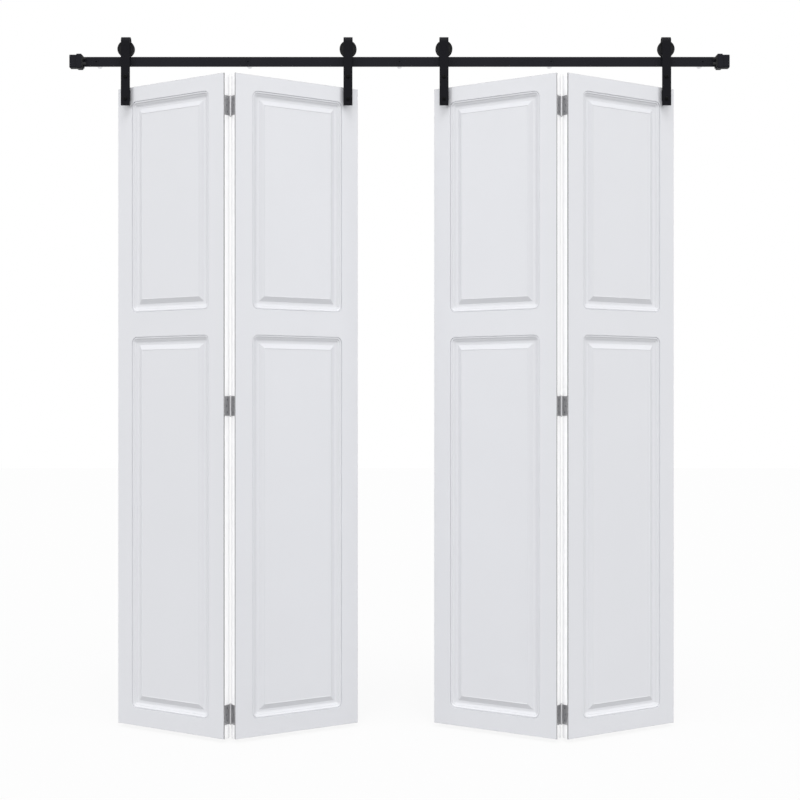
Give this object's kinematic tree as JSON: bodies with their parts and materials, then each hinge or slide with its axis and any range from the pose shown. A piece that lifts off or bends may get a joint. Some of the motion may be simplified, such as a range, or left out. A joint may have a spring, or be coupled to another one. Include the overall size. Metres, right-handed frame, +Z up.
{
  "type": "bifold closet door",
  "caption": "White moulded panel leaves hinged in folding pairs, hung by strap rollers on an exposed black flat rail, for the front of a closet.",
  "frame": {"origin": "centre of the middle wall spacer's back face, on the wall plane, at the height of the rail's bolts", "axes": "+Z up, +Y into the wall, so the front faces -Y, and +X along the rail to the right as seen from the front"},
  "size_m": [2.2086, 0.2794, 2.3028],
  "materials": {
    "white_leaf": "satin",
    "white_edge": "satin",
    "paper_core": "matte",
    "black_steel": "matte",
    "wheel_nylon": "matte",
    "bumper_rubber": "matte",
    "zinc_steel": "satin"
  },
  "bodies": {
    "track": {"rail": "black_steel", "left_end_stop": "black_steel", "right_end_stop": "black_steel", "left_bumper": "bumper_rubber", "right_bumper": "bumper_rubber", "wall_spacer_1": "zinc_steel", "wall_spacer_2": "zinc_steel", "wall_spacer_3": "zinc_steel", "wall_spacer_4": "zinc_steel", "wall_spacer_5": "zinc_steel"},
    "left_outer_hanger": {"left_outer_strap": "black_steel", "left_outer_axle_bolt": "black_steel", "left_outer_swivel_pin_plate": "black_steel"},
    "left_outer_roller": {"left_outer_wheel": "wheel_nylon"},
    "left_outer_leaf": {"left_outer_front_skin": "white_leaf", "left_outer_back_skin": "white_leaf", "left_outer_frame": "white_edge", "left_outer_core": "paper_core", "left_outer_swivel_leaf_plate": "black_steel", "left_top_hinge_pin_plate": "zinc_steel", "left_middle_hinge_pin_plate": "zinc_steel", "left_bottom_hinge_pin_plate": "zinc_steel"},
    "left_inner_leaf": {"left_inner_front_skin": "white_leaf", "left_inner_back_skin": "white_leaf", "left_inner_frame": "white_edge", "left_inner_core": "paper_core", "left_inner_swivel_leaf_plate": "black_steel", "left_top_hinge_plate": "zinc_steel", "left_middle_hinge_plate": "zinc_steel", "left_bottom_hinge_plate": "zinc_steel"},
    "left_inner_hanger": {"left_inner_strap": "black_steel", "left_inner_axle_bolt": "black_steel", "left_inner_swivel_pin_plate": "black_steel"},
    "left_inner_roller": {"left_inner_wheel": "wheel_nylon"},
    "right_outer_hanger": {"right_outer_strap": "black_steel", "right_outer_axle_bolt": "black_steel", "right_outer_swivel_pin_plate": "black_steel"},
    "right_outer_roller": {"right_outer_wheel": "wheel_nylon"},
    "right_outer_leaf": {"right_outer_front_skin": "white_leaf", "right_outer_back_skin": "white_leaf", "right_outer_frame": "white_edge", "right_outer_core": "paper_core", "right_outer_swivel_leaf_plate": "black_steel", "right_top_hinge_plate": "zinc_steel", "right_middle_hinge_plate": "zinc_steel", "right_bottom_hinge_plate": "zinc_steel"},
    "right_inner_leaf": {"right_inner_front_skin": "white_leaf", "right_inner_back_skin": "white_leaf", "right_inner_frame": "white_edge", "right_inner_core": "paper_core", "right_inner_swivel_leaf_plate": "black_steel", "right_top_hinge_pin_plate": "zinc_steel", "right_middle_hinge_pin_plate": "zinc_steel", "right_bottom_hinge_pin_plate": "zinc_steel"},
    "right_inner_hanger": {"right_inner_strap": "black_steel", "right_inner_axle_bolt": "black_steel", "right_inner_swivel_pin_plate": "black_steel"},
    "right_inner_roller": {"right_inner_wheel": "wheel_nylon"}
  },
  "joints": [
    {"name": "left_pair_slide", "type": "slide", "parent": "track", "child": "left_outer_hanger", "axis": [-1, 0, 0], "range_m": [-0.031, 0.116]},
    {"name": "left_outer_roll", "type": "hinge", "parent": "left_outer_hanger", "child": "left_outer_roller", "pos_m": [-0.91625, -0.06, 0.0424], "axis": [0, -1, 0], "range_deg": [-75, 260]},
    {"name": "left_fold", "type": "hinge", "parent": "left_outer_hanger", "child": "left_outer_leaf", "pos_m": [-0.90525, -0.067, -0.1148], "axis": [0, 0, -1], "range_deg": [-32.5, 50]},
    {"name": "left_middle_fold", "type": "hinge", "parent": "left_outer_leaf", "child": "left_inner_leaf", "pos_m": [-0.54425, -0.25216, -1.1536], "axis": [0, 0, 1], "range_deg": [-65, 100]},
    {"name": "left_inner_swivel", "type": "hinge", "parent": "left_inner_leaf", "child": "left_inner_hanger", "pos_m": [-0.18325, -0.067, -0.1148], "axis": [0, 0, -1], "range_deg": [-32.5, 50]},
    {"name": "left_inner_roll", "type": "hinge", "parent": "left_inner_hanger", "child": "left_inner_roller", "pos_m": [-0.17225, -0.06, 0.0424], "axis": [0, -1, 0], "range_deg": [-75, 260]},
    {"name": "right_pair_slide", "type": "slide", "parent": "track", "child": "right_outer_hanger", "axis": [1, 0, 0], "range_m": [-0.031, 0.139]},
    {"name": "right_outer_roll", "type": "hinge", "parent": "right_outer_hanger", "child": "right_outer_roller", "pos_m": [0.89285, -0.06, 0.0424], "axis": [0, 1, 0], "range_deg": [-75, 310]},
    {"name": "right_fold", "type": "hinge", "parent": "right_outer_hanger", "child": "right_outer_leaf", "pos_m": [0.88185, -0.067, -0.1148], "axis": [0, 0, 1], "range_deg": [-32.5, 50]},
    {"name": "right_middle_fold", "type": "hinge", "parent": "right_outer_leaf", "child": "right_inner_leaf", "pos_m": [0.52085, -0.25216, -1.1536], "axis": [0, 0, -1], "range_deg": [-65, 100]},
    {"name": "right_inner_swivel", "type": "hinge", "parent": "right_inner_leaf", "child": "right_inner_hanger", "pos_m": [0.15985, -0.067, -0.1148], "axis": [0, 0, 1], "range_deg": [-32.5, 50]},
    {"name": "right_inner_roll", "type": "hinge", "parent": "right_inner_hanger", "child": "right_inner_roller", "pos_m": [0.14885, -0.06, 0.0424], "axis": [0, 1, 0], "range_deg": [-75, 310]}
  ],
  "couplings": [
    {"joint": "left_outer_roll", "follows": "left_pair_slide", "rad_per_m": 38.462},
    {"joint": "left_inner_roll", "follows": "left_pair_slide", "rad_per_m": 38.462},
    {"joint": "left_middle_fold", "follows": "left_fold", "ratio": 2},
    {"joint": "left_inner_swivel", "follows": "left_fold", "ratio": 1},
    {"joint": "right_outer_roll", "follows": "right_pair_slide", "rad_per_m": 38.462},
    {"joint": "right_inner_roll", "follows": "right_pair_slide", "rad_per_m": 38.462},
    {"joint": "right_middle_fold", "follows": "right_fold", "ratio": 2},
    {"joint": "right_inner_swivel", "follows": "right_fold", "ratio": 1}
  ]
}
